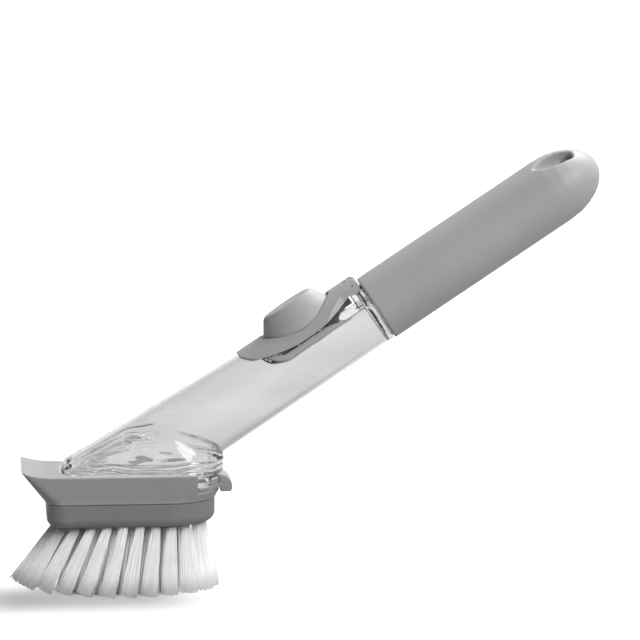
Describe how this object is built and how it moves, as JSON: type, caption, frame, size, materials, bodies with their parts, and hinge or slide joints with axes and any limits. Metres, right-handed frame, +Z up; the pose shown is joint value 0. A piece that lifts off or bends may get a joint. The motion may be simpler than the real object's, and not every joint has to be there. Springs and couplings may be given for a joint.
{
  "type": "dish wand",
  "caption": "Soap-dispensing dish wand: grey grip with a hanging eye, clear reservoir with flip lid and press dome, clip-on brush head with scraper bill.",
  "frame": {"origin": "under the middle of the whole wand's box, at the level of the lowest bristle tips", "axes": "+Z up with the bristles down, +X from the scraper towards the hanging eye, +Y across the wand"},
  "size_m": [0.2818, 0.0573, 0.21],
  "materials": {
    "clear_plastic": "clear, polished",
    "handle_grey": "satin soft-touch",
    "lid_grey": "satin",
    "soft_grey": "matte silicone",
    "seal_silicone": "translucent silicone",
    "inner_white": "satin",
    "pin_steel": "drawn wire",
    "head_grey": "satin",
    "block_grey": "satin",
    "white_nylon": "nylon filament"
  },
  "bodies": {
    "wand": {"reservoir_tube": "clear_plastic", "reservoir_base": "clear_plastic", "base_seal": "seal_silicone", "outlet_valve": "seal_silicone", "valve_retainer": "inner_white", "tube_plug": "inner_white", "plug_seal_ring": "seal_silicone", "handle_shell": "handle_grey", "hinge_pin": "pin_steel"},
    "lid": {"lid_cover": "lid_grey", "dome_skirt": "soft_grey", "port_gasket": "seal_silicone", "dome_clamp_plate": "lid_grey"},
    "button": {"pump_button": "soft_grey"},
    "head": {"head_frame": "head_grey", "brush_block": "block_grey", "bristle_tufts_outer": "white_nylon", "bristle_tufts_inner": "white_nylon", "tuft_anchors": "pin_steel"},
    "latch": {"release_latch": "head_grey"}
  },
  "joints": [
    {"name": "lid_hinge", "type": "hinge", "parent": "wand", "child": "lid", "pos_m": [0.0215, 0, 0.14599], "axis": [0, 1, 0], "range_deg": [0, 92]},
    {"name": "button_press", "type": "slide", "parent": "lid", "child": "button", "axis": [0.5519, 0, -0.8339], "range_m": [0, 0.0035], "stiffness_N_per_m": 2500},
    {"name": "head_release", "type": "slide", "parent": "wand", "child": "head", "axis": [0, 0, -1], "range_m": [0, 0.03]},
    {"name": "latch_press", "type": "hinge", "parent": "head", "child": "latch", "pos_m": [-0.05252, 0, 0.05162], "axis": [0, 1, 0], "range_deg": [0, 6], "stiffness_Nm_per_rad": 1.3}
  ]
}
